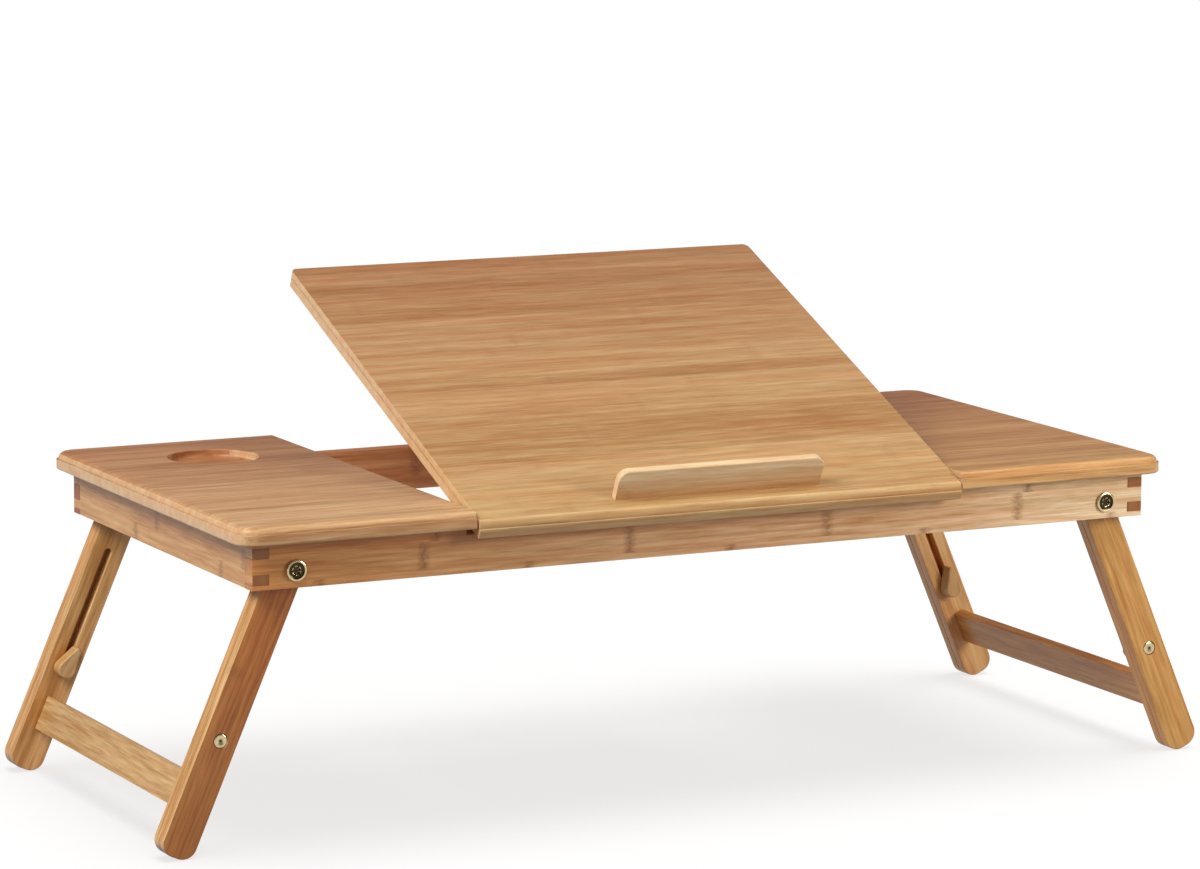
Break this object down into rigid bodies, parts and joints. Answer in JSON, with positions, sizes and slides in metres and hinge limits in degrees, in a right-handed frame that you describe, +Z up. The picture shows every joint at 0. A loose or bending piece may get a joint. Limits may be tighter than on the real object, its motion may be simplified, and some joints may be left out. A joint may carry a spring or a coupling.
{
  "type": "laptop stand with drawer",
  "caption": "Bamboo bed desk: tilting centre panel with a stop ledge between two fixed decks, a cup recess, folding legs that slide longer, and a side drawer.",
  "frame": {"origin": "on the floor, under the middle of the frame", "axes": "+X to the user's right along the long side, +Y away from the user, +Z up"},
  "size_m": [0.813, 0.36, 0.3508],
  "materials": {
    "deck_bamboo": "satin lacquered",
    "panel_bamboo": "satin lacquered",
    "rail_bamboo": "satin lacquered",
    "leg_bamboo": "satin lacquered",
    "pale_bamboo": "satin lacquered",
    "inside_bamboo": "sanded",
    "brassed_steel": "brass plated"
  },
  "bodies": {
    "desk_frame": {"front_rail": "rail_bamboo", "back_rail": "rail_bamboo", "left_end_rail": "rail_bamboo", "right_end_rail": "rail_bamboo", "left_deck": "deck_bamboo", "right_deck": "deck_bamboo", "left_cross_rail": "inside_bamboo", "right_cross_rail": "inside_bamboo", "left_rack_bar": "inside_bamboo", "right_rack_bar": "inside_bamboo", "left_panel_pin": "brassed_steel", "right_panel_pin": "brassed_steel", "left_front_pivot_bolt": "brassed_steel", "left_back_pivot_bolt": "brassed_steel", "right_front_pivot_bolt": "brassed_steel", "right_back_pivot_bolt": "brassed_steel", "front_drawer_runner": "inside_bamboo", "back_drawer_runner": "inside_bamboo"},
    "left_outer_legs": {"left_front_outer_slat": "leg_bamboo", "left_back_outer_slat": "leg_bamboo", "left_front_clamp_bolt": "brassed_steel", "left_back_clamp_bolt": "brassed_steel"},
    "left_inner_legs": {"left_front_inner_slat": "leg_bamboo", "left_back_inner_slat": "leg_bamboo", "left_stretcher": "leg_bamboo"},
    "left_front_clamp_knob": {"left_front_knob": "pale_bamboo"},
    "left_back_clamp_knob": {"left_back_knob": "pale_bamboo"},
    "right_outer_legs": {"right_front_outer_slat": "leg_bamboo", "right_back_outer_slat": "leg_bamboo", "right_front_clamp_bolt": "brassed_steel", "right_back_clamp_bolt": "brassed_steel"},
    "right_inner_legs": {"right_front_inner_slat": "leg_bamboo", "right_back_inner_slat": "leg_bamboo", "right_stretcher": "leg_bamboo"},
    "right_front_clamp_knob": {"right_front_knob": "pale_bamboo"},
    "right_back_clamp_knob": {"right_back_knob": "pale_bamboo"},
    "panel": {"tilting_panel": "panel_bamboo", "stop_ledge": "pale_bamboo", "left_hinge_block": "inside_bamboo", "right_hinge_block": "inside_bamboo", "prop_pin": "brassed_steel"},
    "prop": {"prop_board": "inside_bamboo", "prop_foot_dowel": "pale_bamboo"},
    "drawer": {"drawer_front": "rail_bamboo", "front_drawer_side": "inside_bamboo", "back_drawer_side": "inside_bamboo", "drawer_back": "inside_bamboo", "drawer_floor": "inside_bamboo"}
  },
  "joints": [
    {"name": "left_leg_fold", "type": "hinge", "parent": "desk_frame", "child": "left_outer_legs", "pos_m": [-0.31586, 0, 0.19193], "axis": [0, -1, 0], "range_deg": [0, 113.4]},
    {"name": "right_leg_fold", "type": "hinge", "parent": "desk_frame", "child": "right_outer_legs", "pos_m": [0.31586, 0, 0.19193], "axis": [0, 1, 0], "range_deg": [0, 113.4]},
    {"name": "left_leg_slide", "type": "slide", "parent": "left_outer_legs", "child": "left_inner_legs", "axis": [-0.3972, 0, -0.9178], "range_m": [0, 0.082]},
    {"name": "right_leg_slide", "type": "slide", "parent": "right_outer_legs", "child": "right_inner_legs", "axis": [0.3972, 0, -0.9178], "range_m": [0, 0.082]},
    {"name": "left_front_knob_turn", "type": "hinge", "parent": "left_outer_legs", "child": "left_front_clamp_knob", "pos_m": [-0.36511, -0.131, 0.07813], "axis": [0, 1, 0], "range_deg": [0, 180]},
    {"name": "left_back_knob_turn", "type": "hinge", "parent": "left_outer_legs", "child": "left_back_clamp_knob", "pos_m": [-0.36511, 0.131, 0.07813], "axis": [0, -1, 0], "range_deg": [0, 180]},
    {"name": "right_front_knob_turn", "type": "hinge", "parent": "right_outer_legs", "child": "right_front_clamp_knob", "pos_m": [0.36511, -0.131, 0.07813], "axis": [0, 1, 0], "range_deg": [0, 180]},
    {"name": "right_back_knob_turn", "type": "hinge", "parent": "right_outer_legs", "child": "right_back_clamp_knob", "pos_m": [0.36511, 0.131, 0.07813], "axis": [0, -1, 0], "range_deg": [0, 180]},
    {"name": "panel_tilt", "type": "hinge", "parent": "desk_frame", "child": "panel", "pos_m": [0, -0.1615, 0.21818], "axis": [1, 0, 0], "range_deg": [-22.5, 7.5]},
    {"name": "prop_fold", "type": "hinge", "parent": "panel", "child": "prop", "pos_m": [0, -0.0254, 0.25805], "axis": [1, 0, 0], "range_deg": [-15.6, 46.5]},
    {"name": "drawer_slide", "type": "slide", "parent": "desk_frame", "child": "drawer", "axis": [1, 0, 0], "range_m": [0, 0.11]}
  ],
  "couplings": [
    {"joint": "prop_fold", "follows": "panel_tilt", "ratio": -2.06}
  ]
}
